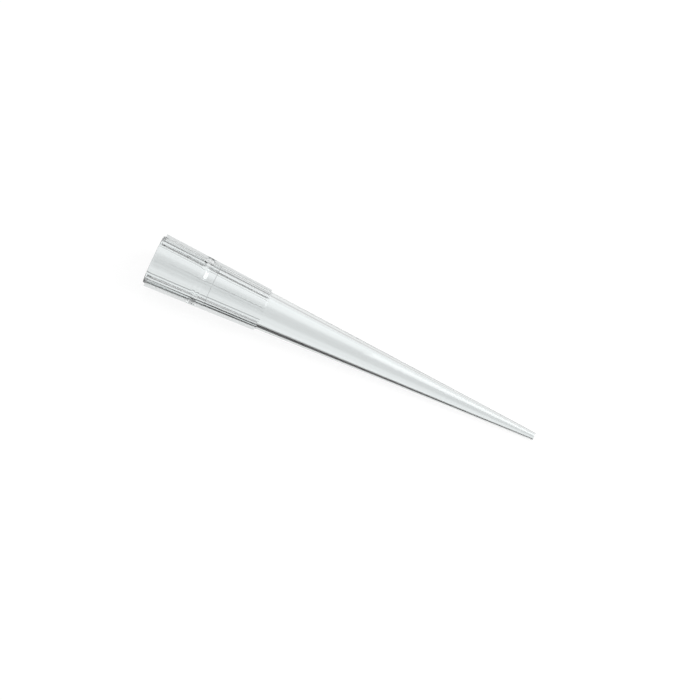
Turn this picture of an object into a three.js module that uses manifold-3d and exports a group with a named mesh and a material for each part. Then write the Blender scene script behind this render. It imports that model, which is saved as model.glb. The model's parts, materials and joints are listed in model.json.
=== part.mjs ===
// A pipette tip, moulded in one piece of clear polypropylene.
// Millimetres, +Z up. The tip is shaped along its own axis, from the rim of its mouth to its point.
// It is then laid down as it comes to rest: on the lower ends of two neighbouring ribs and on its point.

import * as THREE from "three";
import { mergeVertices } from "three/addons/utils/BufferGeometryUtils.js";
import Module from "manifold-3d";

// Distances along the axis, from the rim
const tipLength = 51;
const leadInDepth = 0.5; // the bevel that guides the pipettor's nose in
const beadPlace = 6.4; // the middle of the ring that stops the nose from spreading the hub
const seatEnd = 7.86; // where the nose's sealing land ends
const ribStart = 0.26;
const ribEnd = 14.65; // the hub ends with its ribs
const shoulderLength = 0.18; // a low shoulder leads from the hub to the shaft
const bendBelowHub = 0.38; // the bore's taper changes this far below the hub's end

// Outer radii of the wall, without the ribs
const rimRadius = 3.11;
const hubEndRadius = 2.46;
const shoulderStep = 0.03; // how far the shoulder draws in
const pointRadius = 0.49;

// Wall thickness, measured square to the axis
const mouthWall = 0.48;
const seatEndWall = 0.5;
const boreBendWall = 0.54;
const pointWall = 0.19;
const leadInWidth = 0.15; // how far the lead-in opens the mouth
const seatStep = 0.04; // the bore narrows by this below the sealing land
const seatStepLength = 0.1;

// Ribs, which stand on the hub's wall
const ribCount = 8;
const ribWidth = 0.6;
const ribHeightAtRim = 0.34;
const ribHeightAtEnd = 0.23;
const ribEdgeRound = 0.03;

// The ring between the ribs
const beadHeight = 0.22;
const beadWidth = 1.25;

// Small rounds on the rim, and how finely curves are divided
const rimRound = 0.07;
const roundSteps = 3;
const beadSteps = 10;
const turnSteps = 64;

const shaftStart = ribEnd + shoulderLength;
const shaftStartRadius = hubEndRadius - shoulderStep;
const boreBend = ribEnd + bendBelowHub;

const between = (start, end, share) => start + (end - start) * share;

// Outer radius of the hub's wall at a distance from the rim
function hubRadius(distance) {
  return between(rimRadius, hubEndRadius, distance / ribEnd);
}

// Outer radius of the shaft at a distance from the rim
function shaftRadius(distance) {
  return between(shaftStartRadius, pointRadius, (distance - shaftStart) / (tipLength - shaftStart));
}

// Outer radius of the ribs at a distance from the rim
function ribRadius(distance) {
  const share = (distance - ribStart) / (ribEnd - ribStart);
  return hubRadius(distance) + between(ribHeightAtRim, ribHeightAtEnd, share);
}

// The rim's outer edge as a quarter round, from the rim's flat face to the hub's side
function rimEdge() {
  const points = [];
  for (let step = 0; step <= roundSteps; step++) {
    const turn = ((Math.PI / 2) * step) / roundSteps;
    const radius = rimRadius - rimRound + rimRound * Math.sin(turn);
    points.push(new THREE.Vector2(radius, rimRound - rimRound * Math.cos(turn)));
  }
  return points;
}

// The ring's section: a bell that runs out into the wall on both sides
function beadCurve() {
  const points = [];
  for (let step = 0; step <= beadSteps; step++) {
    const share = step / beadSteps;
    const distance = beadPlace + (share - 0.5) * beadWidth;
    const rise = (beadHeight * (1 - Math.cos(2 * Math.PI * share))) / 2;
    points.push(new THREE.Vector2(hubRadius(distance) + rise, distance));
  }
  return points;
}

// The bore, from the point back to the mouth
function boreLine() {
  const mouthBore = hubRadius(leadInDepth) - mouthWall;
  const seatEndBore = hubRadius(seatEnd) - seatEndWall;
  return [
    new THREE.Vector2(pointRadius - pointWall, tipLength),
    new THREE.Vector2(shaftRadius(boreBend) - boreBendWall, boreBend),
    new THREE.Vector2(seatEndBore - seatStep, seatEnd + seatStepLength),
    new THREE.Vector2(seatEndBore, seatEnd),
    new THREE.Vector2(mouthBore, leadInDepth),
    new THREE.Vector2(mouthBore + leadInWidth, 0),
  ];
}

// The whole wall as one closed outline, turned about the axis
function wallGeometry() {
  const outline = [
    ...rimEdge(),
    ...beadCurve(),
    new THREE.Vector2(hubEndRadius, ribEnd),
    new THREE.Vector2(shaftStartRadius, shaftStart),
    new THREE.Vector2(pointRadius, tipLength),
    ...boreLine(),
  ];
  outline.push(outline[0].clone());
  return new THREE.LatheGeometry(outline, turnSteps);
}

// One rib: a tapered bar with square ends and softened edges, rooted halfway into the wall
function ribGeometry() {
  const root = Math.min(mouthWall, seatEndWall, boreBendWall) / 2;
  const side = new THREE.Shape();
  side.moveTo(hubRadius(ribStart) - root, ribStart);
  side.lineTo(ribRadius(ribStart), ribStart);
  side.lineTo(ribRadius(ribEnd), ribEnd);
  side.lineTo(hubRadius(ribEnd) - root, ribEnd);
  side.closePath();
  const bar = new THREE.ExtrudeGeometry(side, {
    depth: ribWidth - 2 * ribEdgeRound,
    bevelThickness: ribEdgeRound,
    bevelSize: ribEdgeRound,
    bevelOffset: -ribEdgeRound,
    bevelSegments: roundSteps,
  });
  return bar.translate(0, 0, ribEdgeRound - ribWidth / 2);
}

const wasm = await Module();
wasm.setup();

function solidFrom(geometry) {
  geometry.deleteAttribute("normal");
  geometry.deleteAttribute("uv");
  const merged = mergeVertices(geometry);
  const vertProperties = new Float32Array(merged.attributes.position.array);
  const triVerts = new Uint32Array(merged.index.array);
  return new wasm.Manifold(new wasm.Mesh({ numProp: 3, vertProperties, triVerts }));
}

function geometryFrom(solid) {
  const mesh = solid.getMesh();
  const geometry = new THREE.BufferGeometry();
  geometry.setAttribute("position", new THREE.BufferAttribute(mesh.vertProperties, 3));
  geometry.setIndex(new THREE.BufferAttribute(mesh.triVerts, 1));
  geometry.computeVertexNormals();
  return geometry;
}

// The wall with its ribs. Two neighbouring ribs lie evenly on both sides of the -X direction.
function tipSolid() {
  let solid = solidFrom(wallGeometry());
  for (let rib = 0; rib < ribCount; rib++) {
    const turn = (2 * Math.PI * (rib + 0.5)) / ribCount + Math.PI;
    solid = solid.add(solidFrom(ribGeometry().rotateY(turn)));
  }
  return solid;
}

// Distance of the centre of mass from the rim, by adding up the cones from the origin to each triangle
function centreOfMass(geometry) {
  const corner = (place) => new THREE.Vector3().fromBufferAttribute(geometry.attributes.position, place);
  const corners = geometry.index.array;
  let volume = 0;
  let moment = 0;
  for (let first = 0; first < corners.length; first += 3) {
    const [a, b, c] = [first, first + 1, first + 2].map((place) => corner(corners[place]));
    const cone = a.dot(b.clone().cross(c)) / 6;
    volume += cone;
    moment += (cone * (a.y + b.y + c.y)) / 4;
  }
  return moment / volume;
}

// How far below the axis a rib that carries the tip reaches, at a distance from the rim
function ribDepth(distance) {
  const halfPitch = Math.PI / ribCount;
  const face = ribRadius(distance) * Math.cos(halfPitch);
  return face + (ribWidth / 2 - ribEdgeRound) * Math.sin(halfPitch);
}

// The places on the tip's lowest side that can touch the floor: the rim, both ends of the ribs, the ring
// and the point
function footholds() {
  return [
    new THREE.Vector2(rimRadius, rimRound),
    new THREE.Vector2(ribDepth(ribStart), ribStart),
    new THREE.Vector2(hubRadius(beadPlace) + beadHeight, beadPlace),
    new THREE.Vector2(ribDepth(ribEnd), ribEnd),
    new THREE.Vector2(pointRadius, tipLength),
  ];
}

// The angle that the axis makes with the floor when the tip lies still. The floor meets two footholds, one on
// each side of the centre of mass, whose line passes farthest below it.
function restTilt(geometry) {
  const centre = centreOfMass(geometry);
  const behind = footholds().filter((place) => place.y <= centre);
  const ahead = footholds().filter((place) => place.y > centre);
  let depth = 0;
  let tilt = 0;
  for (const first of behind) {
    for (const second of ahead) {
      const slope = (first.x - second.x) / (second.y - first.y);
      const depthHere = first.x - slope * (centre - first.y);
      if (depthHere > depth) {
        depth = depthHere;
        tilt = Math.atan(slope);
      }
    }
  }
  return tilt;
}

const clearPolypropylene = new THREE.MeshStandardMaterial({
  color: 0xdde5e4,
  roughness: 0.12,
  metalness: 0,
});

const pipetteTip = new THREE.Mesh(geometryFrom(tipSolid()), clearPolypropylene);
pipetteTip.name = "pipette_tip";

// The axis is turned from +Y to +X, with -X downwards, and then falls towards the point
pipetteTip.rotation.set(-Math.PI / 2, 0, -Math.PI / 2);
const lying = new THREE.Group();
lying.rotation.set(0, restTilt(pipetteTip.geometry), 0);
lying.add(pipetteTip);

// The origin is on the floor, under the middle of the tip
const part = new THREE.Group();
part.add(lying);
const bounds = new THREE.Box3().setFromObject(part, true);
const middle = bounds.getCenter(new THREE.Vector3());
lying.position.set(-middle.x, -middle.y, -bounds.min.z);

export default part;
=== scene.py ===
# A clear pipette tip that lies on a pale floor in soft studio light.
# The frame holds its solid. Here it gets a finely turned wall, softened moulded edges
# and a clear plastic finish.

import json
import math

import bmesh
import bpy
from mathutils import Matrix, Vector


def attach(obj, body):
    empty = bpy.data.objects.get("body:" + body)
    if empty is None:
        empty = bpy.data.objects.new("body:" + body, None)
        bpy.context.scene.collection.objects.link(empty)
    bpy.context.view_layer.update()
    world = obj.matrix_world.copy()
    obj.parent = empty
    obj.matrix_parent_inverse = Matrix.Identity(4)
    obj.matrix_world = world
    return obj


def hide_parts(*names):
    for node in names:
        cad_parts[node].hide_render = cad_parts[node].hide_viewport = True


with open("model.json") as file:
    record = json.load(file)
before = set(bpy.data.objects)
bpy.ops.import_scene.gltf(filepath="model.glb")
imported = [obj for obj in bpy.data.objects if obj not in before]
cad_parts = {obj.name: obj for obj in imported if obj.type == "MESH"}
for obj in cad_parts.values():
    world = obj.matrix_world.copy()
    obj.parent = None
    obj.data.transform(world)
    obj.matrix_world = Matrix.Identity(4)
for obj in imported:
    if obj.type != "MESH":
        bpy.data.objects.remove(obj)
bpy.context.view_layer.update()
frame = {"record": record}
print("frame loaded")


# A socket that can be used in sums and products. Each operation adds its node to the socket's tree.
class Wire:
    def __init__(self, socket):
        self.socket = socket

    # Adds a node: its settings first, then a value or a link for each input that is named
    @staticmethod
    def add(tree, kind, settings=None, inputs=None):
        node = tree.nodes.new(kind)
        for name, value in (settings or {}).items():
            if name == "stops":
                stops = node.color_ramp.elements
                while len(stops) < len(value):
                    stops.new(0)
                for stop, (place, level) in zip(stops, value):
                    stop.position = place
                    stop.color = (level, level, level, 1)
            else:
                setattr(node, name, value)
        for name, value in (inputs or {}).items():
            if isinstance(value, Wire):
                tree.links.new(value.socket, node.inputs[name])
            else:
                node.inputs[name].default_value = value
        return node

    def maths(self, operation, first, second):
        tree = self.socket.id_data
        node = Wire.add(tree, "ShaderNodeMath", {"operation": operation}, {0: first, 1: second})
        return Wire(node.outputs[0])

    def __add__(self, other):
        return self.maths("ADD", self, other)

    def __radd__(self, other):
        return self.maths("ADD", other, self)

    def __sub__(self, other):
        return self.maths("SUBTRACT", self, other)

    def __rsub__(self, other):
        return self.maths("SUBTRACT", other, self)

    def __mul__(self, other):
        return self.maths("MULTIPLY", self, other)

    def __rmul__(self, other):
        return self.maths("MULTIPLY", other, self)


millimetre = 0.001

# The tip's sizes in millimetres. Places are distances along the axis, from the rim of the mouth.
tip = {
    "length": 51,
    "leadInDepth": 0.5,
    "beadPlace": 6.4,
    "seatEnd": 7.86,
    "ribStart": 0.26,
    "hubEnd": 14.65,
    "shaftStart": 14.83,
    "boreBend": 15.03,
    # outer radii of the wall
    "rimRadius": 3.11,
    "hubEndRadius": 2.46,
    "shaftStartRadius": 2.43,
    "pointRadius": 0.49,
    # thickness of the wall, and the steps in the bore
    "mouthWall": 0.48,
    "seatEndWall": 0.5,
    "boreBendWall": 0.54,
    "pointWall": 0.19,
    "leadInWidth": 0.15,
    "seatStep": 0.04,
    "seatStepLength": 0.03,  # steeper than the solid's, so that the step shows as a fine line
    # ribs, and the ring between them
    "ribCount": 8,
    "ribWidth": 0.6,
    "ribHeightAtRim": 0.34,
    "ribHeightAtEnd": 0.23,
    "beadHeight": 0.22,
    "beadWidth": 1.25,
    # rounds on the edges
    "rimRound": 0.07,
    "mouthRound": 0.04,
    "boreRound": 0.03,
    "seatRound": 0.008,
    "ribRound": 0.03,
    "pointRound": 0.04,
    # how finely the shape is divided
    "columns": 192,
    "ribColumns": 4,
    "beadRings": 20,
    "roundSegments": 4,
    "sharpAngle": 50,  # degrees, past which an edge of a rib is rounded
    "normalWeight": 50,
    # places nearer than these count as one
    "cornerReach": 1e-4,
    "mergeReach": 1e-5,
}


def share(start, end, part):
    return start + (end - start) * part


def hubRadius(distance):
    return share(tip["rimRadius"], tip["hubEndRadius"], distance / tip["hubEnd"])


def ribRadius(distance):
    part = (distance - tip["ribStart"]) / (tip["hubEnd"] - tip["ribStart"])
    return hubRadius(distance) + share(tip["ribHeightAtRim"], tip["ribHeightAtEnd"], part)


def shaftRadius(distance):
    part = (distance - tip["shaftStart"]) / (tip["length"] - tip["shaftStart"])
    return share(tip["shaftStartRadius"], tip["pointRadius"], part)


# The mouth at the rim, where the lead-in is widest
def mouthRadius():
    return hubRadius(tip["leadInDepth"]) - tip["mouthWall"] + tip["leadInWidth"]


# The ring: a bell that runs out into the wall on both sides
def beadOutline():
    outline = []
    for ring in range(tip["beadRings"] + 1):
        part = ring / tip["beadRings"]
        distance = tip["beadPlace"] + (part - 0.5) * tip["beadWidth"]
        rise = tip["beadHeight"] * (1 - math.cos(2 * math.pi * part)) / 2
        outline.append((distance, hubRadius(distance) + rise, 0))
    return outline


# One half of the wall's section, as distance, radius and round: out along the hub and the shaft,
# then back through the bore
def wallOutline():
    mouthBore = mouthRadius() - tip["leadInWidth"]
    seatBore = hubRadius(tip["seatEnd"]) - tip["seatEndWall"]
    return [
        (0, tip["rimRadius"], tip["rimRound"]),
        (tip["ribStart"], hubRadius(tip["ribStart"]), 0),
        *beadOutline(),
        (tip["hubEnd"], tip["hubEndRadius"], 0),
        (tip["shaftStart"], tip["shaftStartRadius"], tip["ribRound"]),
        (tip["length"], tip["pointRadius"], tip["pointRound"]),
        (tip["length"], tip["pointRadius"] - tip["pointWall"], tip["boreRound"]),
        (tip["boreBend"], shaftRadius(tip["boreBend"]) - tip["boreBendWall"], tip["boreRound"]),
        (tip["seatEnd"] + tip["seatStepLength"], seatBore - tip["seatStep"], tip["seatRound"]),
        (tip["seatEnd"], seatBore, tip["seatRound"]),
        (tip["leadInDepth"], mouthBore, tip["mouthRound"]),
        (0, mouthRadius(), tip["mouthRound"]),
    ]


# The edges that run round the wall at one corner of its outline
def ringEdges(bm, distance, radius):
    def isOnRing(vert):
        apart = math.hypot(vert.co.x - distance, math.hypot(vert.co.y, vert.co.z) - radius)
        return apart < tip["cornerReach"]

    return [edge for edge in bm.edges if isOnRing(edge.verts[0]) and isOnRing(edge.verts[1])]


def roundEdges(bm, edges, size):
    bmesh.ops.bevel(
        bm, geom=edges, offset=size, offset_type="OFFSET", segments=tip["roundSegments"],
        profile=0.5, affect="EDGES", material=-1, clamp_overlap=True,
    )


# A place as its nearest rib sees it: the rib's turn from straight up, and the place's offset
# and height there
def seenFromRib(place):
    pitch = 2 * math.pi / tip["ribCount"]
    turn = (math.floor(math.atan2(place.y, place.z) / pitch) + 0.5) * pitch
    offset = place.y * math.cos(turn) - place.z * math.sin(turn)
    height = place.y * math.sin(turn) + place.z * math.cos(turn)
    return turn, offset, height


def placeAtRib(distance, turn, offset, height):
    across = offset * math.cos(turn) + height * math.sin(turn)
    up = height * math.cos(turn) - offset * math.sin(turn)
    return Vector((distance, across, up))


# Moves the columns of faces, so that the sides of each rib fall on the edges of columns
def alignColumns(bm):
    halfPitch = math.pi / tip["ribCount"]
    halfColumns = tip["columns"] / tip["ribCount"] / 2
    halfRib = tip["ribColumns"] / 2
    for vert in bm.verts:
        turn, offset, height = seenFromRib(vert.co)
        radius = math.hypot(offset, height)
        column = abs(math.atan2(offset, height)) / halfPitch * halfColumns
        ribEdge = math.asin(tip["ribWidth"] / 2 / max(radius, tip["hubEndRadius"]))
        if column <= halfRib:
            angle = ribEdge * column / halfRib
        else:
            angle = share(ribEdge, halfPitch, (column - halfRib) / (halfColumns - halfRib))
        sideways = math.copysign(radius * math.sin(angle), offset)
        vert.co = placeAtRib(vert.co.x, turn, sideways, radius * math.cos(angle))


# Raises the faces under each rib to the rib's flat outer face
def raiseRibs(bm):
    onRib = bm.faces.layers.float.new("onRib")

    def isUnderRib(face):
        place = face.calc_center_median()
        turn, offset, height = seenFromRib(place)
        onOutside = height > hubRadius(place.x) - tip["mouthWall"] / 2
        betweenSides = abs(offset) < tip["ribWidth"] / 2
        return tip["ribStart"] < place.x < tip["hubEnd"] and onOutside and betweenSides

    under = [face for face in bm.faces if isUnderRib(face)]
    raised = bmesh.ops.extrude_face_region(bm, geom=under)["geom"]
    bmesh.ops.delete(bm, geom=under, context="FACES")
    for face in [element for element in raised if isinstance(element, bmesh.types.BMFace)]:
        # marks the rib faces, which get a painted shade in the plastic's colour
        face[onRib] = 1
    for vert in [element for element in raised if isinstance(element, bmesh.types.BMVert)]:
        turn, offset, height = seenFromRib(vert.co)
        vert.co = placeAtRib(vert.co.x, turn, offset, ribRadius(vert.co.x))


# The ribs' edges and roots are sharp until now, and the hub's end is a ring between them
def roundRibs(bm):
    sharpAngle = math.radians(tip["sharpAngle"])
    edges = [edge for edge in bm.edges if edge.is_manifold and edge.calc_face_angle() > sharpAngle]
    edges += [edge for edge in ringEdges(bm, tip["hubEnd"], tip["hubEndRadius"]) if edge not in edges]
    roundEdges(bm, edges, tip["ribRound"])


# The matrix that lays the tip where the frame has it, from its own millimetres along its axis
def layingMatrix():
    mouthRim = next(mount for mount in frame["record"]["mounts"] if mount["name"] == "mouth_rim")
    along = -Vector(mouthRim["axis"])
    side = Vector((0, 1, 0))
    above = along.cross(side)
    rimMiddle = (mouthRadius() + tip["rimRadius"] - tip["rimRound"]) / 2
    rimCentre = Vector(mouthRim["pos_m"]) - above * rimMiddle * millimetre
    turn = Matrix((along, side, above)).transposed().to_4x4()
    return Matrix.Translation(rimCentre) @ turn @ Matrix.Scale(millimetre, 4)


def makeTip():
    bm = bmesh.new()
    corners = [bm.verts.new((distance, 0, radius)) for distance, radius, size in wallOutline()]
    edges = [bm.edges.new(pair) for pair in zip(corners, corners[1:] + corners[:1])]
    bmesh.ops.spin(
        bm, geom=corners + edges, cent=(0, 0, 0), axis=(1, 0, 0), dvec=(0, 0, 0),
        angle=2 * math.pi, steps=tip["columns"], use_merge=True, use_duplicate=False,
    )
    bmesh.ops.remove_doubles(bm, verts=bm.verts, dist=tip["mergeReach"])
    bmesh.ops.recalc_face_normals(bm, faces=bm.faces)
    for distance, radius, size in wallOutline():
        if size > 0:
            roundEdges(bm, ringEdges(bm, distance, radius), size)
    alignColumns(bm)
    raiseRibs(bm)
    roundRibs(bm)
    bmesh.ops.recalc_face_normals(bm, faces=bm.faces)
    bm.transform(layingMatrix())
    for face in bm.faces:
        face.smooth = True
    mesh = bpy.data.meshes.new("pipetteTip")
    bm.to_mesh(mesh)
    bm.free()
    piece = bpy.data.objects.new("clearTip", mesh)
    bpy.context.collection.objects.link(piece)
    normals = piece.modifiers.new("evenNormals", "WEIGHTED_NORMAL")
    normals.weight = tip["normalWeight"]
    return piece


# Clear polypropylene: a hard gloss with a faint moulded haze and a cool tint.
# It darkens a little with thickness, and the ribs' faces carry a painted shade.
plastic = {
    "tint": (0.972, 0.994, 0.995, 1),
    "hazeTint": (0.965, 0.988, 0.989, 1),
    "ribPaintedShade": (0.905, 0.928, 0.929, 1),  # painted shade: the ribs' faces are darker, standing in for the shade of light passing through the rib's extra plastic
    "index": 1.49,
    "roughness": 0.01,
    "hazeRoughness": 0.025,
    "absorptionColour": (0.795, 0.8, 0.8, 1),
    "absorptionDensity": 50,  # for each metre
    "hazeScale": (120, 700, 700),  # the melt flowed along the tip and drew the haze out
    "hazeDetail": 3.0,
    "hazeGrain": 0.55,
    "hazeStops": [(0.35, 0), (0.75, 1)],
}


def makePlastic():
    material = bpy.data.materials.new("clearPolypropylene")
    material.use_nodes = True
    tree = material.node_tree
    tree.nodes.clear()
    place = Wire(Wire.add(tree, "ShaderNodeTexCoord").outputs["Object"])
    flow = Wire.add(tree, "ShaderNodeMapping", inputs={
        "Vector": place, "Scale": plastic["hazeScale"],
    })
    haze = Wire.add(tree, "ShaderNodeTexNoise", inputs={
        "Vector": Wire(flow.outputs["Vector"]), "Scale": 1.0,
        "Detail": plastic["hazeDetail"], "Roughness": plastic["hazeGrain"],
    })
    cloud = Wire(Wire.add(tree, "ShaderNodeValToRGB", {"stops": plastic["hazeStops"]}, {
        "Fac": Wire(haze.outputs["Fac"]),
    }).outputs["Color"])
    wall = Wire.add(tree, "ShaderNodeMix", {"data_type": "RGBA"}, {
        "Factor": cloud, 6: plastic["tint"], 7: plastic["hazeTint"],
    })
    # painted shade: the faces marked as rib faces take a darker colour
    ribShadeMask = Wire.add(tree, "ShaderNodeAttribute", {"attribute_name": "onRib"})
    tintAndRibShade = Wire.add(tree, "ShaderNodeMix", {"data_type": "RGBA"}, {
        "Factor": Wire(ribShadeMask.outputs["Fac"]), 6: Wire(wall.outputs[2]), 7: plastic["ribPaintedShade"],
    })
    roughness = plastic["roughness"] + (plastic["hazeRoughness"] - plastic["roughness"]) * cloud
    surface = Wire.add(tree, "ShaderNodeBsdfPrincipled", inputs={
        "Base Color": Wire(tintAndRibShade.outputs[2]),
        "Roughness": roughness,
        "IOR": plastic["index"],
        "Transmission Weight": 1.0,
    })
    depth = Wire.add(tree, "ShaderNodeVolumeAbsorption", inputs={
        "Color": plastic["absorptionColour"], "Density": plastic["absorptionDensity"],
    })
    Wire.add(tree, "ShaderNodeOutputMaterial", inputs={
        "Surface": Wire(surface.outputs[0]), "Volume": Wire(depth.outputs[0]),
    })
    return material


# The studio, with its angles in degrees round the tip's axis. 0 is straight behind the tip as the
# camera sees it, 90 is the top of the picture, and the camera is at 180.
studio = {
    "panels": [  # angle and level. The tip's wall shows these panels, bright and dark.
        (-150, 0.0), (-130, 0.6), (-110, 0.45), (-95, 0.9), (-90, 0.2), (-85, 0.3), (-66, 1.1),
        (-60, 0.8), (-56, 0.0), (-28, 0.0), (-22, 0.9), (-12, 0.9), (0, 0.8), (12, 1.05), (24, 0.9),
        (38, 0.75), (52, 0.55), (60, 1.2), (75, 0.9), (90, 0.85), (105, 0.5), (115, 0.55),
        (130, 1.35), (142, 0.6), (152, 0.0),
    ],
    "panelEnds": (0.65, 0.85),  # the panels fade out here, as the sine of the angle along the tip
    "endLevel": 0.85,
    "cameraTurn": 21.6,  # the camera leans from straight above towards -Y
    "pictureTurn": 25.02,  # the tip falls to the right in the picture
    "aim": (26.29, 0.08),  # millimetres from the rim, and towards the top
    "distance": 0.52,
    "lens": 220.2,
    "clip": (0.01, 50),
    # two lamps in a line beside the shaft: name, start and end in metres from the rim, and level.
    # The shaft's side mirrors the soft one, and the ring and the shoulder mirror the bright one.
    "lamps": [("softLamp", 0.04, 0.07, 2.4), ("brightLamp", 0.07, 0.24, 6.5)],
    "lampTurn": 138,
    "lampDistance": 0.11,
    "lampWidth": 0.08,
    "floorSize": 4,
    "floorGlow": 0.88,
    "floorColour": 0.12,
    "bounces": 24,
}


# The tip's axis, the way from the tip to the camera, and the top of the picture square to both
def studioAxes():
    laid = layingMatrix().to_3x3().normalized()
    along, side, above = laid.col[0], laid.col[1], laid.col[2]
    lean = math.radians(studio["cameraTurn"])
    towards = above * math.cos(lean) - side * math.sin(lean)
    top = side * math.cos(lean) + above * math.sin(lean)
    return along, towards, top


def makeCamera():
    along, towards, top = studioAxes()
    turn = math.radians(studio["pictureTurn"])
    right = along * math.cos(turn) + top * math.sin(turn)
    up = top * math.cos(turn) - along * math.sin(turn)
    aim = layingMatrix() @ Vector((studio["aim"][0], 0, 0)) + top * studio["aim"][1] * millimetre
    data = bpy.data.cameras.new("camera")
    data.lens = studio["lens"]
    data.clip_start, data.clip_end = studio["clip"]
    camera = bpy.data.objects.new("camera", data)
    bpy.context.collection.objects.link(camera)
    turned = Matrix((right, up, towards)).transposed().to_4x4()
    camera.matrix_world = Matrix.Translation(aim + towards * studio["distance"]) @ turned
    bpy.context.scene.camera = camera


def makeFloor():
    bm = bmesh.new()
    bmesh.ops.create_grid(bm, x_segments=1, y_segments=1, size=studio["floorSize"])
    mesh = bpy.data.meshes.new("floor")
    bm.to_mesh(mesh)
    bm.free()
    floor = bpy.data.objects.new("floor", mesh)
    bpy.context.collection.objects.link(floor)
    material = bpy.data.materials.new("paleFloor")
    material.use_nodes = True
    tree = material.node_tree
    tree.nodes.clear()
    level = studio["floorColour"]
    matt = Wire.add(tree, "ShaderNodeBsdfDiffuse", inputs={"Color": (level, level, level, 1)})
    isSeen = Wire(Wire.add(tree, "ShaderNodeLightPath").outputs["Is Camera Ray"])
    glow = Wire.add(tree, "ShaderNodeEmission", inputs={"Strength": isSeen * studio["floorGlow"]})
    both = Wire.add(tree, "ShaderNodeAddShader", inputs={
        0: Wire(matt.outputs[0]), 1: Wire(glow.outputs[0]),
    })
    Wire.add(tree, "ShaderNodeOutputMaterial", inputs={"Surface": Wire(both.outputs[0])})
    mesh.materials.append(material)
    # the clear wall shows the studio round it and not the floor under it
    floor.visible_transmission = False
    floor.visible_glossy = False


def makeWorld():
    along, towards, top = studioAxes()
    world = bpy.data.worlds.new("studio")
    world.use_nodes = True
    bpy.context.scene.world = world
    tree = world.node_tree
    tree.nodes.clear()
    direction = Wire(Wire.add(tree, "ShaderNodeTexCoord").outputs["Generated"])

    def part(axis):
        inputs = {0: direction, 1: axis}
        node = Wire.add(tree, "ShaderNodeVectorMath", {"operation": "DOT_PRODUCT"}, inputs)
        return Wire(node.outputs["Value"])

    behind, upwards, lengthwise = part(-towards), part(top), part(along)
    turn = upwards.maths("ARCTAN2", upwards, behind) * (0.5 / math.pi) + 0.5
    # a ramp's colours stop at 1, so it holds the levels halved
    halved = [((angle + 180) / 360, level / 2) for angle, level in studio["panels"]]
    ring = Wire.add(tree, "ShaderNodeValToRGB", {"stops": halved}, {"Fac": turn})
    panels = Wire(ring.outputs["Color"]) * 2
    fade = Wire.add(tree, "ShaderNodeMapRange", inputs={
        "Value": lengthwise.maths("ABSOLUTE", lengthwise, 0),
        "From Min": studio["panelEnds"][0], "From Max": studio["panelEnds"][1],
    })
    ends = Wire(fade.outputs["Result"])
    room = panels * (1 - ends) + ends * studio["endLevel"]
    rays = Wire.add(tree, "ShaderNodeLightPath")
    isGlossy = Wire(rays.outputs["Is Glossy Ray"])
    isRefracted = Wire(rays.outputs["Is Transmission Ray"])
    isClear = isGlossy.maths("MAXIMUM", isGlossy, isRefracted)
    level = isClear * room + (1 - isClear)  # a matt surface is lit evenly, at 1
    light = Wire.add(tree, "ShaderNodeBackground", inputs={
        "Color": (1, 1, 1, 1), "Strength": level,
    })
    Wire.add(tree, "ShaderNodeOutputWorld", inputs={"Surface": Wire(light.outputs[0])})


def makeLamp(name, start, end, level):
    along, towards, top = studioAxes()
    turn = math.radians(studio["lampTurn"])
    away = top * math.sin(turn) - towards * math.cos(turn)
    length, width = end - start, studio["lampWidth"]
    data = bpy.data.lights.new(name, "AREA")
    data.shape = "RECTANGLE"
    data.size, data.size_y = length, width
    data.energy = level * math.pi * length * width
    lamp = bpy.data.objects.new(name, data)
    bpy.context.collection.objects.link(lamp)
    turned = Matrix((along, away.cross(along), away)).transposed().to_4x4()
    middle = layingMatrix().translation + along * (start + end) / 2
    lamp.matrix_world = Matrix.Translation(middle + away * studio["lampDistance"]) @ turned
    lamp.visible_camera = False
    # the lamps only shine on the outside, as if a hood kept them off the inside of the wall
    lamp.visible_transmission = False


clearTip = makeTip()
clearTip.data.materials.append(makePlastic())
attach(clearTip, "root")
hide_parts("pipette_tip")
print("tip made:", len(clearTip.data.polygons), "faces")

makeFloor()
makeWorld()
for name, start, end, level in studio["lamps"]:
    makeLamp(name, start, end, level)
makeCamera()
bpy.context.scene.view_settings.view_transform = "Standard"
# light is thrown back and forth many times inside a clear wall before it gets out
lightPaths = bpy.context.scene.cycles
lightPaths.max_bounces = studio["bounces"]
lightPaths.glossy_bounces = studio["bounces"]
lightPaths.transmission_bounces = studio["bounces"]
print("studio made")
